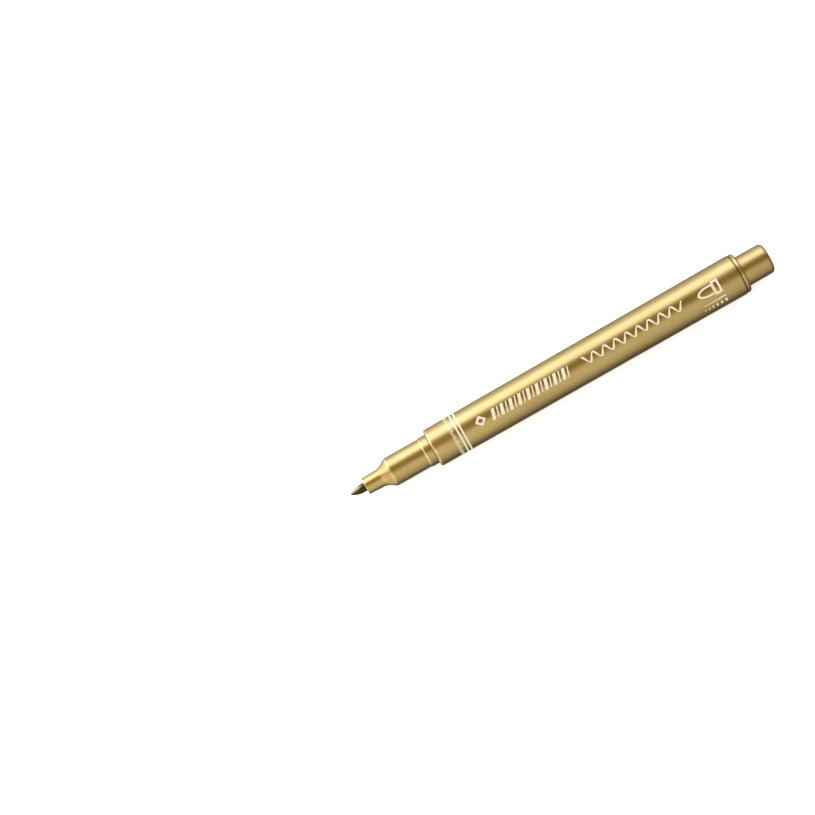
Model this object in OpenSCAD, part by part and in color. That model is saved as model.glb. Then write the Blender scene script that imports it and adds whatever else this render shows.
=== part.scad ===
// Valve-action metallic marker, uncapped, lying on its side along X.
// The nib points to -X, the rear post to +X, +Z is up and the lowest line is at Z = 0.
// Every piece is drawn along its own axis from the nib tip, then laid down by place().
// A position called "u" is a distance in millimetres from the nib tip towards the rear.

/* [Barrel] */
// Distance from the nib tip to the barrel's front rim
barrel_front = 25.2; // [24.8:0.2:26.4]
// Length of the barrel tube
barrel_len = 94.8; // [85:0.2:110]
// Outer diameter at the front rim
barrel_d_front = 11; // [10.9:0.05:11.4]
// Outer diameter at the rear rim, wider by the moulding draft
barrel_d_rear = 11.76; // [11.7:0.02:12.3]
// Bore that takes the front section's spigot
socket_d = 8.72; // [8.7:0.01:8.74]

/* [Front section] */
// Outer diameter of the nose tube at its front rim
nose_d_front = 4.85; // [4.5:0.05:4.9]
// Outer diameter of the nose tube where the flare starts
nose_d_rear = 5.2; // [5:0.05:5.3]
// Outer diameter of the cylinder that a cap seats on
section_d = 8.34; // [8.2:0.02:8.34]
// Half angle of the flare's cone
flare_a = 33; // [30:1:38]
// Radius of the hollow curve where the flare starts
flare_r = 3.6; // [3:0.1:3.8]
// Radius of the rounded corner where the flare meets the cap seat
flare_corner = 1.2; // [0.8:0.1:1.5]
// Outer diameter of the collar and spigot
collar_d = 8.68; // [8.66:0.01:8.68]
// Number of guide ribs around the nib
nose_ribs = 6; // [4:1:8]

/* [Nib] */
// Diameter of the bullet nib
nib_d = 2.5; // [2.2:0.05:2.5]
// Length of nib that stands out of the nose tube
nib_out = 4.55; // [4.25:0.1:5.05]
// Height of the rounded bullet point
nib_point = 3.6; // [3.2:0.1:3.8]

/* [Rear plug] */
// Diameter of the rear post that a cap can be pushed onto
post_d = 8.76; // [8.4:0.02:9.2]
// Length of the rear post
post_len = 8.2; // [7:0.1:10]
// Thickness of the plug's flange
flange_t = 1.3; // [0.8:0.1:1.6]
// Edge radius at the end of the post
post_round = 1.05; // [0.8:0.05:1.2]

/* [Valve] */
// Travel of the nib from closed to fully open
valve_stroke = 1.5; // [1:0.1:1.6]
// Spring wire diameter
wire_d = 0.3; // [0.25:0.05:0.4]
// Number of spring coils, the closed end coils included
spring_turns = 7; // [6:1:8]
// Number of ink ports in the cage
cage_ports = 6; // [4:1:6]

/* [Mixing ball] */
// Diameter of the steel ball
ball_d = 5; // [4:0.1:5]

/* [Hidden] */

SEG = 96;
total_len = barrel_front + barrel_len + flange_t + post_len;
axis_h = barrel_d_rear / 2;

// Stations along the pen, all from the nib tip
u_nose     = nib_out;                    // front rim of the nose tube
u_flare    = nib_out + 4.3;             // nose tube ends, flare starts
u_relay0   = nib_out + 8.95;             // front wall of the relay chamber
u_collar   = barrel_front - 2.45;        // step from cap seat to collar
u_relay1   = barrel_front + 0.4;         // rear of the relay chamber
u_nib_end  = barrel_front + 3.8;         // rear end of the nib
u_spigot   = barrel_front + 10.8;        // rear end of the spigot
u_flange1  = u_spigot + 1.0;             // rear face of the valve body's flange
u_should0  = u_flange1 + 0.72;           // barrel shoulder, front face
u_should1  = u_should0 + 1.28;           // barrel shoulder, rear face
u_seat0    = u_flange1 + 1.0;            // seat wall, front face
u_seat1    = u_seat0 + 1.2;              // seat wall, rear face
bead_h     = 0.25;                       // raised sealing lip on the seat
seal_t     = 0.7;                        // elastomer washer thickness
u_disc0    = u_seat1 + bead_h + seal_t;  // valve disc, front face
u_disc1    = u_disc0 + 0.95;             // valve disc, rear face
u_cage0    = u_disc1 + 2.5;              // cage, open end
u_cage_pl  = u_disc1 + 6.5;              // cage end plate, inner face
u_cage1    = u_cage_pl + 1.0;            // cage end plate, outer face
u_pin_end  = u_cage1 + 2.0;              // end of the rod's guide pin
u_rear0    = barrel_front + barrel_len - 9.9; // front of the plug socket
u_rim      = barrel_front + barrel_len;  // rear rim of the barrel
u_post0    = u_rim + flange_t;           // rear face of the plug's flange

function outer_r(u) = barrel_d_front / 2 + (barrel_d_rear - barrel_d_front) / 2 * (u - barrel_front) / barrel_len;
function arc(cr, cu, r, a0, a1, n) = [for (i = [0:n]) let (a = a0 + (a1 - a0) * i / n) [cr + r * cos(a), cu + r * sin(a)]];

module place() { translate([-total_len / 2, 0, axis_h]) rotate([0, 90, 0]) children(); }
module lathe(pts) { rotate_extrude($fn = SEG) polygon(pts); }
module rod_at(r, u0, u1) { translate([0, 0, u0]) cylinder(r = r, h = u1 - u0, $fn = SEG); }

// Injection-moulded tube: front socket, shoulder for the valve gasket, tapering ink chamber, plug socket.
module barrel() {
    rs = socket_d / 2;
    color([0.72, 0.58, 0.27]) place() lathe(concat(
        [[rs + 0.12, barrel_front]],
        arc(outer_r(barrel_front) - 0.7, barrel_front + 0.7, 0.7, -90, 0, 10),
        arc(outer_r(u_rim) - 0.35, u_rim - 0.35, 0.35, 0, 90, 6),
        [[5.0, u_rim], [4.92, u_rim - 0.15],
         [4.92, u_rear0], [4.85, u_rear0], [4.55, u_should1],
         [3.8, u_should1], [3.8, u_should0],
         [rs, u_should0],
         [rs, barrel_front + 7.0], [rs + 0.16, barrel_front + 6.75], [rs + 0.16, barrel_front + 5.85], [rs, barrel_front + 5.6],
         [rs, barrel_front + 0.12]]));
}

// Nose tube, flare, cap seat, collar and press-in spigot, with ribs that centre the nib and leave air channels.
module front_section() {
    rc = collar_d / 2; r0 = nose_d_front / 2; r1 = nose_d_rear / 2; rn = nib_d / 2;
    rs = section_d / 2;
    // concave arc, then a straight cone to (fr, fu), then a rounded corner onto the cap seat
    fr = rs - flare_corner * (1 - cos(flare_a));
    fu = u_flare + flare_r * sin(flare_a) + (fr - r1 - flare_r * (1 - cos(flare_a))) / tan(flare_a);
    color([0.72, 0.58, 0.27]) place() difference() {
        lathe(concat(
            [[rn + 0.42, u_nose]],
            arc(r0 - 0.25, u_nose + 0.25, 0.25, -90, 0, 6),
            [for (i = [0:12]) let (a = flare_a * i / 12) [r1 + flare_r * (1 - cos(a)), u_flare + flare_r * sin(a)]],
            [for (i = [0:8]) let (a = flare_a * (1 - i / 8)) [rs - flare_corner * (1 - cos(a)), fu + flare_corner * (sin(flare_a) - sin(a))]],
            [[rs, u_collar], [rc, u_collar + 0.4],
             [rc, barrel_front + 5.95], [rc + 0.13, barrel_front + 6.1], [rc + 0.13, barrel_front + 6.5], [rc, barrel_front + 6.65],
             [rc, u_spigot - 0.3], [rc - 0.2, u_spigot],
             [3.62, u_spigot], [3.62, u_relay1], [3.1, u_relay1], [3.1, u_relay0],
             [rn + 0.06, u_relay0 - 0.9], [rn + 0.06, u_nose + 0.3]]));
        // air channels between the ribs
        for (k = [0:nose_ribs - 1]) rotate([0, 0, 360 / nose_ribs * k])
            translate([rn - 0.3, -0.24, u_nose - 1]) cube([0.74, 0.48, u_relay0 - u_nose + 1.5]);
    }
}

// Bullet nib: a tangent ogive with a small round end, on a straight shank.
module nib() {
    R = nib_d / 2; h = nib_point; rho = (R * R + h * h) / (2 * R);
    tip = 0.25; d = 0.163; // ball at the point, and how far it is set back
    color([0.60, 0.52, 0.28]) place() lathe(concat(
        [for (i = [0:6]) let (a = 55 * i / 6) [tip * sin(a), tip * (1 - cos(a))]],
        [for (i = [1:16]) let (w = 0.27 + (h - 0.27) * i / 16) [sqrt(rho * rho - (h - w) * (h - w)) - (rho - R), w - d]],
        [[R, u_nib_end - 0.15], [R - 0.15, u_nib_end], [0, u_nib_end]]));
}

// Fibre sleeve that stores a little ink around the nib.
module ink_relay() {
    rn = nib_d / 2;
    color([0.86, 0.80, 0.62]) place() lathe([
        [rn + 0.08, u_relay0 + 0.2], [2.8, u_relay0 + 0.2], [3.05, u_relay0 + 0.45],
        [3.05, u_relay1 - 0.35], [2.9, u_relay1 - 0.2], [rn + 0.08, u_relay1 - 0.2]]);
}

// Drilled washer that keeps the relay in its chamber.
module relay_washer() {
    color([0.90, 0.90, 0.88]) place() difference() {
        rod_at(3.55, u_relay1 + 0.02, u_relay1 + 0.82);
        rod_at(1.6, u_relay1 - 1, u_relay1 + 2);
        for (k = [0:5]) rotate([0, 0, 60 * k]) translate([2.55, 0, 0]) rod_at(0.4, u_relay1 - 1, u_relay1 + 2);
    }
}

// Sleeve with the clamped flange, the seat wall and its sealing lip.
module valve_body() {
    color([0.93, 0.93, 0.90]) place() lathe([
        [2.55, u_relay1 + 0.9], [3.4, u_relay1 + 0.9], [3.58, u_relay1 + 1.1],
        [3.58, u_spigot + 0.02], [4.28, u_spigot + 0.02], [4.28, u_flange1], [3.2, u_flange1],
        [3.2, u_cage0 + 1.2], [3.3, u_cage0 + 1.4], [3.3, u_cage0 + 1.7], [3.2, u_cage0 + 1.9],
        [3.2, u_cage_pl - 1.4], [2.6, u_cage_pl - 1.4], [2.6, u_seat1],
        [1.85, u_seat1], [1.78, u_seat1 + bead_h], [1.62, u_seat1 + bead_h], [1.55, u_seat1],
        [1.4, u_seat1], [1.4, u_seat0], [2.55, u_seat0]]);
}

// O-ring between the valve body's flange and the barrel's shoulder.
module valve_gasket() {
    color([0.12, 0.12, 0.12]) place() translate([0, 0, (u_flange1 + u_should0) / 2])
        rotate_extrude($fn = SEG) translate([3.93, 0]) circle(r = 0.35, $fn = 32);
}

// Push rod: fluted cup behind the nib, stem through the seat, valve disc and guide pin.
module valve_rod() {
    rn = nib_d / 2;
    cup = u_nib_end - 1.6;
    color([0.93, 0.93, 0.90]) place() difference() {
        lathe([[rn + 0.04, cup], [2.15, cup], [2.3, cup + 0.15], [2.3, u_nib_end + 1.3], [0.9, u_nib_end + 1.9],
               [0.9, u_disc0], [2.1, u_disc0], [2.1, u_disc1 - 0.1], [2.0, u_disc1],
               [0.8, u_disc1], [0.8, u_pin_end - 0.4], [0.4, u_pin_end], [0, u_pin_end],
               [0, u_nib_end], [rn + 0.04, u_nib_end]]);
        for (k = [0:3]) rotate([0, 0, 90 * k + 45])
            translate([1.75, -0.45, cup - 1]) cube([1.2, 0.9, 6]);
    }
}

// Elastomer washer on the rod that closes on the seat's lip.
module valve_seal() {
    color([0.20, 0.20, 0.22]) place() difference() {
        rod_at(2.1, u_seat1 + bead_h, u_disc0);
        rod_at(0.92, u_seat1 - 1, u_disc0 + 1);
    }
}

// Height of the spring's wire centre after t turns: closed coils at both ends, open coils between.
function coil_u(t, n, lo, hi, c) = let (e = 1.0, dead = c * e)
    t <= e ? lo + c * t :
    t >= n - e ? hi - c * (n - t) :
    lo + dead + (hi - lo - 2 * dead) * (t - e) / (n - 2 * e);

// Compression spring that closes the valve.
module valve_spring() {
    m = 1.45; w = wire_d / 2; steps = 22; sides = 8;
    n = spring_turns;
    lo = u_disc1 + w + 0.01; hi = u_cage_pl - w - 0.01;
    rings = n * steps;
    pts = [for (i = [0:rings], k = [0:sides - 1])
        let (t = i / steps, a = 360 * t, b = 360 * k / sides, r = m + w * cos(b))
        [r * cos(a), r * sin(a), coil_u(t, n, lo, hi, wire_d * 1.2) + w * sin(b)]];
    faces = concat(
        [[for (k = [0:sides - 1]) k]],
        [for (i = [0:rings - 1], k = [0:sides - 1])
            let (p = i * sides, q = p + sides, j = (k + 1) % sides) [p + k, q + k, q + j, p + j]],
        [[for (k = [sides - 1:-1:0]) rings * sides + k]]);
    color([0.75, 0.76, 0.78]) place() polyhedron(points = pts, faces = faces, convexity = 10);
}

// Snap-on cage that carries the spring and guides the rod's pin.
module valve_cage() {
    color([0.90, 0.90, 0.88]) place() difference() {
        lathe([[3.22, u_cage0], [3.6, u_cage0], [3.72, u_cage0 + 0.2], [3.72, u_cage1 - 0.3], [3.42, u_cage1],
               [0.86, u_cage1], [0.86, u_cage_pl], [3.22, u_cage_pl],
               [3.22, u_cage0 + 1.95], [3.33, u_cage0 + 1.75], [3.33, u_cage0 + 1.35], [3.22, u_cage0 + 1.15]]);
        for (k = [0:cage_ports - 1]) rotate([0, 0, 360 / cage_ports * k])
            translate([2.5, 0, 0]) rod_at(0.45, u_cage_pl - 1, u_cage1 + 1);
    }
}

// Steel ball, lying on the chamber's lowest line next to the valve.
module mixing_ball() {
    r = ball_d / 2;
    color([0.80, 0.81, 0.83]) place()
        translate([4.5 - r, 0, u_pin_end + valve_stroke + 0.3 + r]) sphere(r = r, $fn = 64);
}

// Rear plug: sealing spigot, flange and hollow post.
module end_plug() {
    rp = post_d / 2; rf = outer_r(u_rim) - 0.1;
    color([0.72, 0.58, 0.27]) place() lathe(concat(
        [[3.9, u_rear0 + 0.4], [4.6, u_rear0 + 0.4], [4.82, u_rear0 + 0.9],
         [4.82, u_rear0 + 2.2], [4.9, u_rear0 + 2.4], [4.9, u_rear0 + 2.8], [4.82, u_rear0 + 3.0],
         [4.82, u_rear0 + 5.7], [4.9, u_rear0 + 5.9], [4.9, u_rear0 + 6.3], [4.82, u_rear0 + 6.5],
         [4.82, u_rim + 0.01], [rf - 0.16, u_rim + 0.01], [rf - 0.02, u_rim + 0.14]],
        arc(rf - 0.02 - 0.55, u_post0 - 0.55, 0.55, 0, 90, 8),
        [[rp + 0.12, u_post0], [rp, u_post0 + 0.12]],
        arc(rp - post_round, u_post0 + post_len - post_round, post_round, 0, 90, 10),
        [[0, u_post0 + post_len], [0, u_post0 + post_len - 1.5],
         [3.0, u_post0 + post_len - 1.5], [3.3, u_post0 + post_len - 1.9], [3.3, u_rim - 1], [3.9, u_rim - 2]]));
}

barrel();
front_section();
nib();
ink_relay();
relay_washer();
valve_body();
valve_gasket();
valve_rod();
valve_seal();
valve_spring();
valve_cage();
mixing_ball();
end_plug();
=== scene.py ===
# Uncapped bullet-nib marker lying on a pale floor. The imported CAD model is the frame; this script adds the finishes,
# the printed marks, the moulding details, the light and the camera. Everything is in metres, in the frame's axes.
import math

import bpy
import bmesh
from mathutils import Matrix, Vector


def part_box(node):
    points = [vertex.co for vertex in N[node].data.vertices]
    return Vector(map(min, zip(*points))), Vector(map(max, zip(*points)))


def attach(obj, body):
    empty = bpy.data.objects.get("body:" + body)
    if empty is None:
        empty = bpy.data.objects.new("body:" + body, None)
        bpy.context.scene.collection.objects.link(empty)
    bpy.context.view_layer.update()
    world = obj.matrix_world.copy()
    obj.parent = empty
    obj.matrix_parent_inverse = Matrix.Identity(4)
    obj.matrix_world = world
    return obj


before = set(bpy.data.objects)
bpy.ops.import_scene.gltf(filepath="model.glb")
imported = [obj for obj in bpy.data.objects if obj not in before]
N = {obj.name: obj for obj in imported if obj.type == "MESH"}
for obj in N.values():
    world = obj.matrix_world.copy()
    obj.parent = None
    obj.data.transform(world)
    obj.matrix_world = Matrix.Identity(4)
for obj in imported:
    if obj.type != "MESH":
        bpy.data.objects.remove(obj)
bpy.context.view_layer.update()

MM = 0.001
CAM_EL = math.radians(70)      # the camera's height above the horizon, round the pen's own axis
PEN_ROLL = math.radians(29.70)  # how far the pen is turned in the view

# Places along the pen, read from the frame
b_lo, b_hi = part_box("barrel")
s_lo, s_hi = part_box("front_section")
n_lo, n_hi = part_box("nib")
p_lo, p_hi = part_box("end_plug")
AXIS_Z = (b_lo.z + b_hi.z) / 2
TIP_X = n_lo.x
R_REAR = (b_hi.z - b_lo.z) / 2
R_FRONT = 11.00 / 2 * MM
BAR0, BAR1 = b_lo.x, b_hi.x


def bar_r(x):
    """The barrel's outer radius at x."""
    return R_FRONT + (R_REAR - R_FRONT) * (x - BAR0) / (BAR1 - BAR0)


# ------------------------------------------------------------------ node helpers
class Nodes:
    def __init__(self, mat):
        mat.use_nodes = True
        self.t = mat.node_tree
        self.t.nodes.clear()

    def add(self, kind, **kw):
        n = self.t.nodes.new(kind)
        for k, v in kw.items():
            setattr(n, k, v)
        return n

    def link(self, a, b):
        self.t.links.new(a, b)

    def val(self, sock, v):
        if hasattr(v, "is_output"):
            self.link(v, sock)
        else:
            sock.default_value = v

    def math(self, op, a, b=None, c=None, clamp=False):
        n = self.add("ShaderNodeMath", operation=op)
        n.use_clamp = clamp
        self.val(n.inputs[0], a)
        if b is not None:
            self.val(n.inputs[1], b)
        if c is not None:
            self.val(n.inputs[2], c)
        return n.outputs[0]

    def scale(self, vec, xyz):
        n = self.add("ShaderNodeVectorMath", operation="MULTIPLY")
        self.link(vec, n.inputs[0])
        n.inputs[1].default_value = xyz
        return n.outputs[0]

    def noise(self, vec, scale, detail=3.0, rough=0.5, dist=0.0):
        n = self.add("ShaderNodeTexNoise")
        self.link(vec, n.inputs["Vector"])
        n.inputs["Scale"].default_value = scale
        n.inputs["Detail"].default_value = detail
        n.inputs["Roughness"].default_value = rough
        n.inputs["Distortion"].default_value = dist
        return n.outputs["Fac"]

    def cells(self, vec, scale, feature="F1"):
        n = self.add("ShaderNodeTexVoronoi", feature=feature)
        self.link(vec, n.inputs["Vector"])
        n.inputs["Scale"].default_value = scale
        return n

    def ramp(self, fac, stops, interp="LINEAR"):
        n = self.add("ShaderNodeValToRGB")
        self.link(fac, n.inputs[0])
        r = n.color_ramp
        r.interpolation = interp
        r.elements[0].position, r.elements[0].color = stops[0][0], _rgba(stops[0][1])
        r.elements[1].position, r.elements[1].color = stops[1][0], _rgba(stops[1][1])
        for p, c in stops[2:]:
            e = r.elements.new(p)
            e.color = _rgba(c)
        return n.outputs[0]

    def map(self, v, a, b, c, d, clamp=True):
        n = self.add("ShaderNodeMapRange")
        n.clamp = clamp
        self.link(v, n.inputs[0])
        for i, x in enumerate((a, b, c, d)):
            n.inputs[i + 1].default_value = x
        return n.outputs[0]

    def mix(self, fac, a, b, mode="MIX"):
        n = self.add("ShaderNodeMix", data_type="RGBA", blend_type=mode)
        self.val(n.inputs[0], fac)
        for sock, v in ((n.inputs[6], a), (n.inputs[7], b)):
            if hasattr(v, "is_output"):
                self.link(v, sock)
            else:
                sock.default_value = _rgba(v)
        return n.outputs[2]

    def bump(self, h, dist, strength=1.0, normal=None):
        n = self.add("ShaderNodeBump")
        n.inputs["Strength"].default_value = strength
        n.inputs["Distance"].default_value = dist
        self.link(h, n.inputs["Height"])
        if normal is not None:
            self.link(normal, n.inputs["Normal"])
        return n.outputs[0]

    def finish(self, **sockets):
        b = self.add("ShaderNodeBsdfPrincipled")
        for k, v in sockets.items():
            k = k.replace("_", " ")
            if hasattr(v, "is_output"):
                self.link(v, b.inputs[k])
            elif isinstance(v, tuple) and len(v) == 3 and b.inputs[k].type == "RGBA":
                b.inputs[k].default_value = _rgba(v)
            else:
                b.inputs[k].default_value = v
        o = self.add("ShaderNodeOutputMaterial")
        self.link(b.outputs[0], o.inputs[0])
        return b


def _rgba(c):
    if not hasattr(c, "__len__"):
        return (c, c, c, 1.0)
    return (*c[:3], 1.0)


def srgb(r, g, b):
    """Linear colour of an 8-bit display colour."""
    def f(c):
        c /= 255
        return c / 12.92 if c <= 0.04045 else ((c + 0.055) / 1.055) ** 2.4
    return (f(r), f(g), f(b))


# ------------------------------------------------------------------ materials
def gold_plastic(name, highlight_rims, flow_from, seed, shaded_seams=()):
    """Gold pearl plastic: fine flakes, flow marks from the mould, a soft satin skin, painted highlight lines on some
    rounded edges and painted shade lines in some joints.
    The edge list gives the x of the edges that get a painted bright line, and the joint list the x of the joints that
    get a painted dark line."""
    m = bpy.data.materials.new(name)
    n = Nodes(m)
    co = n.add("ShaderNodeTexCoord").outputs["Object"]
    off = n.add("ShaderNodeVectorMath", operation="ADD")
    n.link(co, off.inputs[0])
    off.inputs[1].default_value = (seed * 0.37, seed * 0.11, seed * 0.23)
    p = off.outputs[0]
    sep = n.add("ShaderNodeSeparateXYZ")
    n.link(co, sep.inputs[0])
    x = sep.outputs[0]
    # flakes: 0.06 mm and 0.15 mm cells with their own brightness
    fine = n.cells(p, 16000.0)
    coarse = n.cells(p, 6500.0)
    fv = n.add("ShaderNodeSeparateColor")
    n.link(fine.outputs["Color"], fv.inputs[0])
    cv = n.add("ShaderNodeSeparateColor")
    n.link(coarse.outputs["Color"], cv.inputs[0])
    flake = n.math("ADD", n.math("MULTIPLY", fv.outputs[0], 0.6), n.math("MULTIPLY", cv.outputs[1], 0.4))
    # slow clouding and flow streaks along the pen
    cloud = n.noise(n.scale(p, (0.35, 1, 1)), 160.0, 3.0, 0.55)
    streak = n.noise(n.scale(p, (0.06, 1, 1)), 1300.0, 3.0, 0.6, 0.15)
    base = n.ramp(flake, [(0.0, (0.62, 0.435, 0.150)), (0.5, (0.70, 0.505, 0.190)), (0.82, (0.73, 0.535, 0.210)), (1.0, (0.86, 0.68, 0.33))])
    base = n.mix(n.map(cloud, 0.3, 0.7, 0.0, 1.0), base, n.mix(1.0, base, (0.90, 0.87, 0.80), "MULTIPLY"))
    base = n.mix(n.map(streak, 0.35, 0.75, 0.0, 0.35), base, n.mix(1.0, base, (1.06, 1.04, 1.0), "MULTIPLY"))
    # painted highlight: a bright thin line in the colour on each listed rounded edge, standing in for its reflection,
    # that breaks up round the edge
    rim_highlight = None
    for rx, width in highlight_rims:
        d = n.math("ABSOLUTE", n.math("SUBTRACT", x, rx))
        one = n.map(d, 0.0, width, 1.0, 0.0)
        rim_highlight = one if rim_highlight is None else n.math("MAXIMUM", rim_highlight, one)
    broken = n.map(n.noise(p, 900.0, 2.0, 0.6), 0.38, 0.62, 0.35, 1.0)
    if rim_highlight is not None:
        rim_highlight = n.math("MULTIPLY", rim_highlight, broken)
        base = n.mix(n.math("MULTIPLY", rim_highlight, 0.75), base, (0.95, 0.83, 0.52))
    # painted shade: a dark line in the colour at each listed joint, standing in for the shadow in the gap between the
    # parts
    seam_shade = None
    for rx, width in shaded_seams:
        d = n.math("ABSOLUTE", n.math("SUBTRACT", x, rx))
        one = n.map(d, width * 0.45, width, 1.0, 0.0)
        seam_shade = one if seam_shade is None else n.math("MAXIMUM", seam_shade, one)
    if seam_shade is not None:
        seam_shade = n.math("MULTIPLY", seam_shade, n.map(n.noise(p, 1400.0, 3.0, 0.6), 0.35, 0.6, 0.72, 1.0))
        base = n.mix(n.math("MULTIPLY", seam_shade, 0.50), base, (0.110, 0.075, 0.020))
    # handling marks: hair-fine scratches, mostly along the pen
    s1 = n.noise(n.scale(p, (0.05, 1, 1)), 5200.0, 2.0, 0.5, 0.4)
    s2 = n.noise(n.scale(p, (1.0, 0.16, 0.16)), 4200.0, 2.0, 0.5, 0.6)
    hair = n.math("MAXIMUM", n.map(s1, 0.66, 0.74, 0.0, 1.0), n.map(s2, 0.69, 0.76, 0.0, 0.8))
    smudge = n.noise(p, 75.0, 4.0, 0.6, 0.5)
    rough = n.math("ADD", n.map(smudge, 0.3, 0.7, 0.275, 0.335), n.math("MULTIPLY", hair, 0.05))
    rough = n.math("ADD", rough, n.map(flake, 0.0, 1.0, -0.015, 0.02))
    h = n.math("ADD", n.math("MULTIPLY", n.noise(p, 420.0, 2.0, 0.5), 0.9), n.math("MULTIPLY", flake, 0.035))
    h = n.math("SUBTRACT", h, n.math("MULTIPLY", hair, 0.05))
    h = n.math("ADD", h, n.math("MULTIPLY", streak, 0.06))
    n.finish(Base_Color=base, Metallic=1.0, Roughness=rough, Normal=n.bump(h, 0.012 * MM, 0.8))
    return m


def nib_fibre():
    """Bonded fibre point, soaked with gold pigment ink: lengthwise fibres, wet sheen, darker where it leaves the nose,
    and a painted shade on the side turned down in the view.
    """
    m = bpy.data.materials.new("nib_fibre_inked")
    n = Nodes(m)
    co = n.add("ShaderNodeTexCoord").outputs["Object"]
    sep = n.add("ShaderNodeSeparateXYZ")
    n.link(co, sep.inputs[0])
    along = n.map(sep.outputs[0], TIP_X, TIP_X + 5.0 * MM, 0.0, 1.0)
    fib = n.noise(n.scale(co, (0.05, 1, 1)), 9000.0, 3.0, 0.65, 0.2)
    clot = n.noise(co, 1500.0, 4.0, 0.6)
    wet = n.math("ADD", n.math("MULTIPLY", fib, 0.6), n.math("MULTIPLY", clot, 0.4))
    tip = n.ramp(wet, [(0.25, (0.36, 0.30, 0.115)), (0.5, (0.54, 0.46, 0.20)), (0.8, (0.72, 0.64, 0.34))])
    dark_nib_colour = n.ramp(wet, [(0.25, (0.026, 0.017, 0.001)), (0.5, (0.050, 0.035, 0.003)), (0.8, (0.12, 0.090, 0.016))])
    # painted shade: the side of the nib turned down in the view, worked out from the camera's height, is darkened in
    # the colour
    low = n.math("MULTIPLY", n.math("SUBTRACT", sep.outputs[2], AXIS_Z), -math.cos(CAM_EL))
    low = n.math("SUBTRACT", low, n.math("MULTIPLY", sep.outputs[1], math.sin(CAM_EL)))
    lower_side_shade = n.map(low, -0.60 * MM, 0.12 * MM, 0.0, 1.0)
    darken_mask = n.math("ADD", n.ramp(along, [(0.0, 0.0), (0.26, 0.04), (0.52, 0.25), (0.76, 0.92)]), n.math("MULTIPLY", lower_side_shade, 0.92), clamp=True)
    base = n.mix(darken_mask, tip, dark_nib_colour)
    rough = n.map(wet, 0.2, 0.8, 0.27, 0.46)
    h = n.math("ADD", n.math("MULTIPLY", fib, 0.8), n.math("MULTIPLY", clot, 0.3))
    n.finish(Base_Color=base, Metallic=0.75, Roughness=rough, Normal=n.bump(h, 0.03 * MM, 0.7))
    return m


def print_ink():
    """Cream screen print: matt, slightly uneven, thin at a few pinholes."""
    m = bpy.data.materials.new("cream_print")
    n = Nodes(m)
    co = n.add("ShaderNodeTexCoord").outputs["Object"]
    grain = n.noise(co, 5200.0, 3.0, 0.6)
    cover = n.noise(co, 1500.0, 2.0, 0.5)
    holes = n.noise(co, 9000.0, 1.0, 0.5)
    base = n.ramp(cover, [(0.25, (0.63, 0.555, 0.385)), (0.5, (0.70, 0.63, 0.45)), (0.8, (0.75, 0.69, 0.51))])
    base = n.mix(n.map(holes, 0.70, 0.80, 0.0, 0.5), base, (0.55, 0.42, 0.20))
    rough = n.map(grain, 0.3, 0.7, 0.42, 0.60)
    n.finish(Base_Color=base, Metallic=0.0, Roughness=rough, Normal=n.bump(grain, 0.006 * MM, 0.6))
    return m


def moulded_white(name, tint):
    m = bpy.data.materials.new(name)
    n = Nodes(m)
    co = n.add("ShaderNodeTexCoord").outputs["Object"]
    c = n.noise(co, 260.0, 3.0, 0.5)
    ink = n.noise(co, 700.0, 4.0, 0.65, 0.4)
    base = n.ramp(c, [(0.3, tuple(t * 0.94 for t in tint)), (0.7, tint)])
    base = n.mix(n.map(ink, 0.52, 0.72, 0.0, 0.75), base, (0.60, 0.46, 0.17))
    n.finish(Base_Color=base, Metallic=0.0, Roughness=n.map(c, 0.3, 0.7, 0.38, 0.5), Normal=n.bump(c, 0.01 * MM, 0.5))
    return m


def rubber_black():
    m = bpy.data.materials.new("moulded_rubber")
    n = Nodes(m)
    co = n.add("ShaderNodeTexCoord").outputs["Object"]
    c = n.noise(co, 2600.0, 4.0, 0.6)
    base = n.ramp(c, [(0.3, (0.018, 0.018, 0.019)), (0.7, (0.045, 0.044, 0.043))])
    n.finish(Base_Color=base, Roughness=n.map(c, 0.3, 0.7, 0.55, 0.75), Normal=n.bump(c, 0.01 * MM, 0.6))
    return m


def steel(name, rough_lo, rough_hi, stretch):
    m = bpy.data.materials.new(name)
    n = Nodes(m)
    co = n.add("ShaderNodeTexCoord").outputs["Object"]
    g = n.noise(n.scale(co, stretch), 3800.0, 3.0, 0.6)
    base = n.ramp(g, [(0.3, (0.52, 0.53, 0.55)), (0.7, (0.66, 0.66, 0.67))])
    n.finish(Base_Color=base, Metallic=1.0, Roughness=n.map(g, 0.3, 0.7, rough_lo, rough_hi), Normal=n.bump(g, 0.004 * MM, 0.5))
    return m


def relay_felt():
    m = bpy.data.materials.new("relay_felt")
    n = Nodes(m)
    co = n.add("ShaderNodeTexCoord").outputs["Object"]
    f = n.noise(n.scale(co, (0.2, 1, 1)), 6000.0, 4.0, 0.7, 0.6)
    darken_mask = n.noise(co, 420.0, 3.0, 0.6)
    base = n.ramp(f, [(0.3, (0.62, 0.54, 0.34)), (0.7, (0.84, 0.78, 0.60))])
    base = n.mix(n.map(darken_mask, 0.35, 0.65, 0.15, 0.9), base, (0.50, 0.36, 0.10))
    n.finish(Base_Color=base, Roughness=n.map(f, 0.3, 0.7, 0.75, 0.95), Normal=n.bump(f, 0.05 * MM, 0.9))
    return m


def dress(node, mat, slot=None):
    o = N[node]
    o.data.materials.clear()
    o.data.materials.append(mat)


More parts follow.
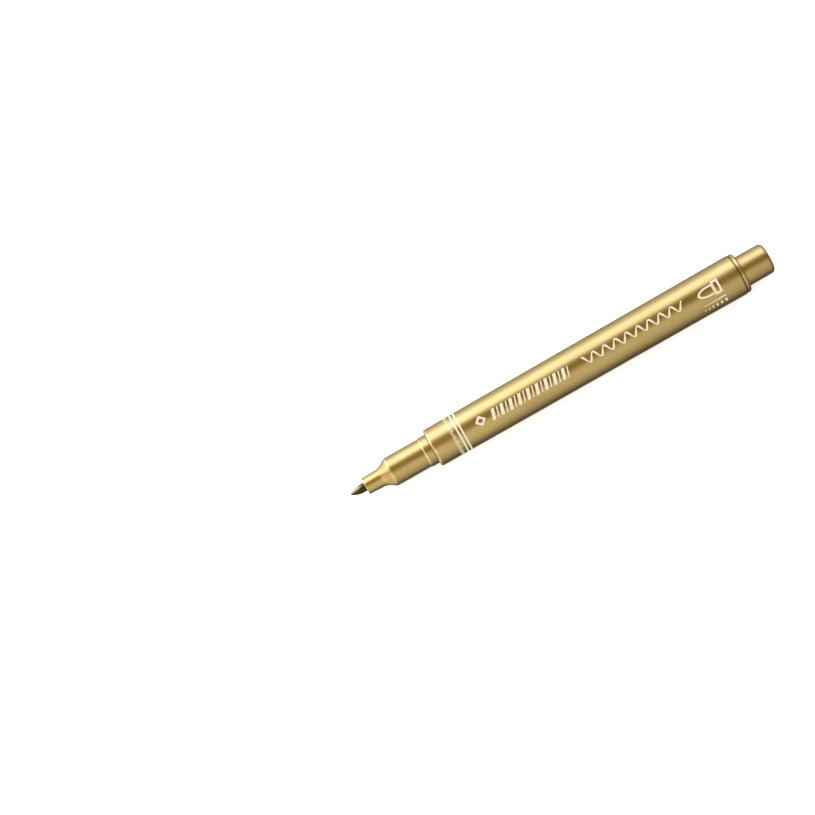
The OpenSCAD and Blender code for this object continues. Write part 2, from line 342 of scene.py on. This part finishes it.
# gold materials: the first list places painted highlight lines on rounded edges, the last list places painted shade
# lines at the joints
M_BARREL = gold_plastic("gold_pearl_barrel", [(BAR0 + 0.42 * MM, 0.62 * MM)], BAR1, 1.0, [(BAR1 + 0.02 * MM, 0.36 * MM)])
M_FRONT = gold_plastic("gold_pearl_front", [(s_lo.x + 0.05 * MM, 0.30 * MM), (TIP_X + 12.50 * MM, 0.55 * MM), (TIP_X + 22.95 * MM, 0.34 * MM)], s_lo.x, 2.0, [(BAR0 - 0.04 * MM, 0.34 * MM)])
M_PLUG = gold_plastic("gold_pearl_plug", [(BAR1 + 0.46 * MM, 0.20 * MM)], p_hi.x, 3.0, [(BAR1 + 0.02 * MM, 0.24 * MM), (BAR1 + 1.30 * MM, 0.20 * MM)])
M_NIB = nib_fibre()
M_PRINT = print_ink()
M_WHITE = moulded_white("moulded_white", (0.86, 0.86, 0.83))
M_RUBBER = rubber_black()
M_WIRE = steel("spring_wire", 0.20, 0.34, (1, 1, 1))
M_BALL = steel("ball_steel", 0.08, 0.16, (1, 1, 1))
M_FELT = relay_felt()
dress("barrel", M_BARREL)
dress("front_section", M_FRONT)
dress("end_plug", M_PLUG)
dress("nib", M_NIB)
dress("ink_relay", M_FELT)
dress("relay_washer", M_WHITE)
dress("valve_body", M_WHITE)
dress("valve_cage", M_WHITE)
dress("valve_rod", M_WHITE)
dress("valve_gasket", M_RUBBER)
dress("valve_seal", M_RUBBER)
dress("valve_spring", M_WIRE)
dress("mixing_ball", M_BALL)


# ------------------------------------------------------------------ printed film
FILM = 0.022 * MM   # how far the top of the film stands over the barrel
UNDER = 0.030 * MM  # how far its edge goes in, past the facets of the barrel's mesh


def film(name, outlines, step=0.25 * MM):
    """A printed mark: closed outlines in (x, arc) metres, laid round the barrel. arc is the distance round from the line
    that faces the camera, positive towards the top of the view. Each outline is (points, holes)."""
    bm = bmesh.new()
    for pts, holes in outlines:
        loops = [pts] + holes
        edges = []
        for lp in loops:
            vs = [bm.verts.new((a, b, 0)) for a, b in lp]
            for i in range(len(vs)):
                edges.append(bm.edges.new((vs[i], vs[(i + 1) % len(vs)])))
        bmesh.ops.triangle_fill(bm, use_beauty=True, use_dissolve=False, edges=edges)
    # cut across, so that wide marks bend with the barrel
    lo = min(v.co.y for v in bm.verts)
    hi = max(v.co.y for v in bm.verts)
    y = math.floor(lo / step) * step
    while y < hi:
        g = bm.verts[:] + bm.edges[:] + bm.faces[:]
        bmesh.ops.bisect_plane(bm, geom=g, dist=1e-8, plane_co=(0, y, 0), plane_no=(0, 1, 0))
        y += step
    top = bm.faces[:]
    r = bmesh.ops.extrude_face_region(bm, geom=top)
    low = [v for v in r["geom"] if isinstance(v, bmesh.types.BMVert)]
    # the extruded copy keeps the normal, so it becomes the outer face and the first faces the inner one
    lowset = set(low)
    for v in bm.verts:
        outer = v in lowset
        x, arc = v.co.x, v.co.y
        rr = bar_r(x) + (FILM if outer else -UNDER)
        a = CAM_EL + arc / bar_r(x)
        v.co = Vector((x, -math.cos(a) * rr, AXIS_Z + math.sin(a) * rr))
    bmesh.ops.recalc_face_normals(bm, faces=bm.faces[:])
    me = bpy.data.meshes.new(name)
    bm.to_mesh(me)
    bm.free()
    o = bpy.data.objects.new(name, me)
    bpy.context.scene.collection.objects.link(o)
    me.materials.append(M_PRINT)
    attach(o, "barrel_assembly")
    return o


def ring(name, x, width):
    """A printed line all the way round the barrel."""
    bm = bmesh.new()
    seg = 160
    prof = [(x - width / 2, -UNDER), (x - width / 2 + 0.03 * MM, FILM), (x + width / 2 - 0.03 * MM, FILM), (x + width / 2, -UNDER)]
    rows = []
    for i in range(seg):
        a = 2 * math.pi * i / seg
        rows.append([bm.verts.new((px, -math.cos(a) * (bar_r(px) + h), AXIS_Z + math.sin(a) * (bar_r(px) + h))) for px, h in prof])
    for i in range(seg):
        p, q = rows[i], rows[(i + 1) % seg]
        for k in range(len(prof)):
            j = (k + 1) % len(prof)
            bm.faces.new((p[k], p[j], q[j], q[k]))
    bmesh.ops.recalc_face_normals(bm, faces=bm.faces[:])
    me = bpy.data.meshes.new(name)
    bm.to_mesh(me)
    bm.free()
    for f in me.polygons:
        f.use_smooth = False
    o = bpy.data.objects.new(name, me)
    bpy.context.scene.collection.objects.link(o)
    me.materials.append(M_PRINT)
    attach(o, "barrel_assembly")
    return o


def X(u):
    """x of a place u millimetres from the nib tip."""
    return TIP_X + u * MM


ring("ring_front", X(33.45), 0.50 * MM)
ring("ring_rear", X(34.58), 0.50 * MM)


def poly(pts):
    return [(X(u), a * MM) for u, a in pts]


def stroke(path, width):
    """Outline of a pen stroke: path in (u, arc) mm, width a number or a function of the share of the way."""
    L, R = [], []
    n = len(path)
    for i, (u, a) in enumerate(path):
        u0, a0 = path[max(i - 1, 0)]
        u1, a1 = path[min(i + 1, n - 1)]
        d = math.hypot(u1 - u0, a1 - a0) or 1.0
        nx, ny = -(a1 - a0) / d, (u1 - u0) / d
        w = (width(i / (n - 1)) if callable(width) else width) / 2
        L.append((u + nx * w, a + ny * w))
        R.append((u - nx * w, a - ny * w))
    return poly(L + R[::-1])


# Nib sign: a plain bullet outline in a collar
def bullet(u0, u1, half, point, inset=0.0):
    """Closed outline of a bullet that points to the nib end."""
    u0 += inset * 1.25
    half -= inset
    pts = []
    m = 14
    for i in range(m + 1):
        t = i / m
        t = t * t * (1.6 - 0.6 * t)  # closer points near the tip
        pts.append((u0 + point * t, half * math.sqrt(max(0.0, 1 - (1 - t) ** 2)) ** 1.12))
    pts.append((u1, half))
    lower = [(u, -a) for u, a in pts[::-1] if a > 0]
    return pts + lower


outer = bullet(106.98, 111.95, 1.44, 3.3)
inner = bullet(107.66, 111.50, 0.98, 2.6)
collar_o = [(111.75, 2.10), (113.8, 2.10), (113.8, -1.92), (111.75, -1.92)]
collar_i = [(112.27, 1.52), (113.25, 1.52), (113.25, -1.34), (112.27, -1.34)]
film("nib_sign", [(poly(outer), [poly(inner)]), (poly(collar_o), [poly(collar_i)])])

# In place of wording: a lozenge, a drill of alternate broad and fine slanted strokes, then a thick-and-thin wave
marks = [(poly([(38.5, 0.1), (40.15, 1.62), (41.8, 0.1), (40.15, -1.42)]), [poly([(39.32, 0.1), (40.15, -0.62), (40.98, 0.1), (40.15, 0.82)])])]
u = 43.2
k = 0
while u < 66.6:
    w = 0.92 if k % 2 == 0 else 0.34
    marks.append((poly([(u, -1.50), (u + w, -1.50), (u + w + 0.85, 1.50), (u + 0.85, 1.50)]), []))
    u += w + 0.72
    k += 1
film("stroke_drill", marks)
wave = []
m = 14
for i in range(m * 9 + 1):
    ph = i / m
    wave.append((71.9 + ph * 3.42, 0.30 + 1.10 * math.cos(2 * math.pi * ph)))


def wave_w(t):
    ph = t * 9
    return 0.30 + 0.26 * (0.5 - 0.5 * math.cos(2 * math.pi * (2 * ph + 0.22)))


film("wave_line", [(stroke(wave, wave_w), [])])
# Line-width sign under the bullet: a fine line that widens
wedge = [(poly([(107.2, -3.24), (114.1, -3.06), (114.1, -3.48), (107.2, -3.36)]), [])]
for k in range(6):
    w0 = 0.14 + 0.10 * k
    u0 = 107.3 + 1.02 * k + 0.04 * k * k
    wedge.append((poly([(u0, -5.35), (u0 + w0, -5.35), (u0 + w0, -4.30), (u0, -4.30)]), []))
film("width_wedge", wedge)

# Fine ticks round the barrel in front of the rings
ticks = []
cnt = 62
circ = 2 * math.pi * bar_r(X(31.95)) / MM
for i in range(cnt):
    a0 = (i + 0.5) / cnt * circ - circ / 2
    if abs(abs(a0) - circ / 2) < 1.5:
        continue
    lo_u, hi_u = ((31.40, 32.50), (31.55, 32.30), (31.40, 32.10))[(i * 7) % 3]
    ticks.append((poly([(lo_u, a0 - 0.12), (hi_u, a0 - 0.12), (hi_u, a0 + 0.12), (lo_u, a0 + 0.12)]), []))
film("fine_ticks", ticks)


# ------------------------------------------------------------------ floor
bm = bmesh.new()
seg = 96
c = bm.verts.new((0, 0, 0))
rim = [bm.verts.new((3 * math.cos(2 * math.pi * i / seg), 3 * math.sin(2 * math.pi * i / seg), 0)) for i in range(seg)]
for i in range(seg):
    bm.faces.new((c, rim[i], rim[(i + 1) % seg]))
me = bpy.data.meshes.new("floor")
bm.to_mesh(me)
bm.free()
floor = bpy.data.objects.new("floor", me)
floor.location = (0, 0, -0.00002)
bpy.context.scene.collection.objects.link(floor)
m = bpy.data.materials.new("pale_floor")
n = Nodes(m)
co = n.add("ShaderNodeTexCoord").outputs["Object"]
g = n.noise(co, 40.0, 3.0, 0.5)
n.finish(Base_Color=n.ramp(g, [(0.3, (0.90, 0.90, 0.895)), (0.7, (0.92, 0.92, 0.915))]), Roughness=0.85,
         Specular_IOR_Level=0.2, Emission_Color=(1.0, 1.0, 1.0), Emission_Strength=0.45)
me.materials.append(m)
floor.visible_glossy = False

# ------------------------------------------------------------------ world: a studio of soft bands that run along the pen
w = bpy.data.worlds.new("studio")
bpy.context.scene.world = w
w.use_nodes = True
t = w.node_tree
t.nodes.clear()


class WN(Nodes):
    def __init__(self, tree):
        self.t = tree


n = WN(t)
d = n.add("ShaderNodeTexCoord").outputs["Generated"]
sep = n.add("ShaderNodeSeparateXYZ")
n.link(d, sep.inputs[0])
theta = n.math("ARCTAN2", sep.outputs[2], n.math("MULTIPLY", sep.outputs[1], -1.0))  # 0 front, 90 degrees overhead, 180 back
fac = n.math("MULTIPLY_ADD", theta, 1 / (2 * math.pi), 0.5)


def at(phi):
    """Ramp position of a direction phi degrees above the camera's."""
    return ((math.degrees(CAM_EL) + phi + 180) % 360) / 360


BANDS = [
    (-128, (0.09, 0.09, 0.11)),
    (-106, (0.25, 0.25, 0.24)),
    (-86, (0.47, 0.47, 0.455)),
    (-66, (0.62, 0.62, 0.60)),
    (-40, (0.70, 0.71, 0.70)),
    (-18, (0.70, 0.70, 0.69)),
    (-6, (0.35, 0.295, 0.15)),
    (6, (0.240, 0.168, 0.012)),
    (24, (0.240, 0.168, 0.012)),
    (34, (0.31, 0.27, 0.17)),
    (50, (1.42, 1.52, 1.80)),
    (58, (1.70, 1.90, 2.45)),
    (84, (1.70, 1.90, 2.45)),
    (96, (0.90, 0.98, 1.20)),
    (116, (0.62, 0.66, 0.74)),
    (150, (0.30, 0.31, 0.34)),
]
stops = sorted((at(a), c) for a, c in BANDS)
bands = n.ramp(fac, [(p, tuple(v / 2.5 for v in c)) for p, c in stops], "EASE")
left = n.math("POWER", n.math("MAXIMUM", n.math("MULTIPLY", sep.outputs[0], -1.0), 0.0), 3.0)
rght = n.math("POWER", n.math("MAXIMUM", sep.outputs[0], 0.0), 2.5)
fall = n.map(sep.outputs[0], -0.20, 0.20, 1.42, 0.88)  # the bands are a little stronger over the nib end
fallc = n.add("ShaderNodeCombineColor")
for k in range(3):
    n.link(fall, fallc.inputs[k])
bands = n.mix(1.0, bands, fallc.outputs[0], "MULTIPLY")
soft = n.mix(n.math("MULTIPLY", left, 0.34), bands, (0.42, 0.40, 0.36))
soft = n.mix(rght, soft, (0.085, 0.070, 0.045))
# a tall soft panel past the nib, seen only in rounded edges that face it
panel = n.math("MULTIPLY", n.map(sep.outputs[0], -0.36, -0.50, 0.0, 1.0), n.map(sep.outputs[0], -0.84, -0.68, 0.0, 1.0))
soft = n.mix(n.math("MULTIPLY", panel, 0.30), soft, (0.80, 0.79, 0.75))
lp = n.add("ShaderNodeLightPath")
bg1 = n.add("ShaderNodeBackground")
n.link(soft, bg1.inputs[0])
bg1.inputs[1].default_value = 2.5
bg2 = n.add("ShaderNodeBackground")
bg2.inputs[0].default_value = (0.93, 0.93, 0.93, 1)
bg2.inputs[1].default_value = 1.0
mx = n.add("ShaderNodeMixShader")
n.link(lp.outputs["Is Camera Ray"], mx.inputs[0])
n.link(bg1.outputs[0], mx.inputs[1])
n.link(bg2.outputs[0], mx.inputs[2])
wo = n.add("ShaderNodeOutputWorld")
n.link(mx.outputs[0], wo.inputs[0])

# Overhead soft light for the matt surfaces and the floor only
ld = bpy.data.lights.new("overhead", "AREA")
ld.shape = "RECTANGLE"
ld.size, ld.size_y = 1.6, 1.6
ld.energy = 10.0
lo_ = bpy.data.objects.new("overhead", ld)
lo_.location = (0.0, -0.15, 0.95)
lo_.rotation_euler = (math.radians(-9), 0, 0)
bpy.context.scene.collection.objects.link(lo_)
lo_.visible_glossy = False
lo_.visible_camera = False

# ------------------------------------------------------------------ camera
K = 0.2698 * MM                       # size of one image dot at the pen
DIST = 0.675
back = Vector((0, -math.cos(CAM_EL), math.sin(CAM_EL)))
up0 = Vector((0, math.sin(CAM_EL), math.cos(CAM_EL)))
right0 = Vector((1, 0, 0))
right = right0 * math.cos(PEN_ROLL) - up0 * math.sin(PEN_ROLL)
up = right0 * math.sin(PEN_ROLL) + up0 * math.cos(PEN_ROLL)
target = Vector((X(24.96), 0, AXIS_Z)) + up0 * (47.8 * K)
cd = bpy.data.cameras.new("camera")
cd.sensor_width = 36.0
cd.lens = 36.0 * DIST / (815 * K)
cd.clip_start, cd.clip_end = 0.01, 20.0
cam = bpy.data.objects.new("camera", cd)
m3 = Matrix((right, up, back)).transposed()
cam.matrix_world = Matrix.Translation(target + back * DIST) @ m3.to_4x4()
bpy.context.scene.collection.objects.link(cam)
bpy.context.scene.camera = cam
bpy.context.scene.view_settings.view_transform = "Standard"
bpy.context.scene.view_settings.look = "None"
